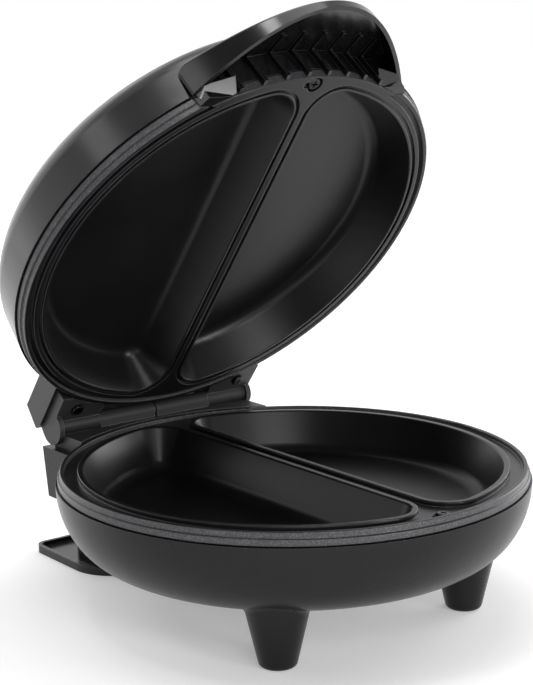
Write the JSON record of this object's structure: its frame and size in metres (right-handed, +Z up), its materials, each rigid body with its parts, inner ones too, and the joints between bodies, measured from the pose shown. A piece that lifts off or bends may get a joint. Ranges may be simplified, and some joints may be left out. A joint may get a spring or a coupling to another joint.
{
  "type": "electric omelette maker",
  "caption": "Open electric omelette maker: round dark bowl and domed lid, each with a twin half-moon non-stick plate.",
  "frame": {"origin": "centre of the part's plan box, on the table under the feet, lid open as in the picture", "axes": "+Z up, +X to the maker's right when its front faces the viewer, +Y to the rear where the hinge is, front towards -Y"},
  "size_m": [0.22, 0.2552, 0.278],
  "materials": {
    "shell_plastic": "satin black moulded plastic",
    "handle_plastic": "dark grey satin",
    "hinge_plastic": "dark grey matt",
    "foot_plastic": "gloss dark grey",
    "nonstick": "semi-gloss non-stick coating on cast aluminium",
    "screw_steel": "bright zinc",
    "heater_steel": "dull",
    "shield_aluminium": "mill",
    "pad_rubber": "matt",
    "ceramic": "matt ceramic",
    "wire_sleeve": "woven glass sleeve",
    "lens_red": "clear red",
    "lens_green": "clear green",
    "lamp_glass": "clear"
  },
  "bodies": {
    "base": {"base_shell": "shell_plastic", "foot_pads": "pad_rubber", "rear_foot": "foot_plastic", "rear_foot_screws": "screw_steel", "cord_gland": "pad_rubber", "terminal_block": "ceramic", "base_cooking_plate": "nonstick", "base_plate_screw": "screw_steel", "base_heater": "heater_steel", "base_wiring": "wire_sleeve", "base_heat_shield": "shield_aluminium", "base_shield_screws": "screw_steel", "thermostat": "ceramic", "thermal_fuse": "ceramic", "fuse_clip": "heater_steel", "base_hinge_knuckles": "hinge_plastic", "base_hinge_screws": "screw_steel", "hinge_pin": "screw_steel"},
    "lid": {"lid_shell": "shell_plastic", "power_lens": "lens_red", "ready_lens": "lens_green", "indicator_lamps": "lamp_glass", "lid_handle": "handle_plastic", "handle_screws": "screw_steel", "lid_cooking_plate": "nonstick", "lid_plate_screw": "screw_steel", "lid_heater": "heater_steel", "lid_wiring": "wire_sleeve", "lid_heat_shield": "shield_aluminium", "lid_shield_screws": "screw_steel", "lid_hinge_left": "hinge_plastic", "lid_hinge_right": "hinge_plastic", "lid_hinge_screws": "screw_steel"}
  },
  "joints": [
    {"name": "lid_hinge", "type": "hinge", "parent": "base", "child": "lid", "pos_m": [0, 0.09955, 0.07137], "axis": [-1, 0, 0], "range_deg": [-52.16, 45]}
  ]
}
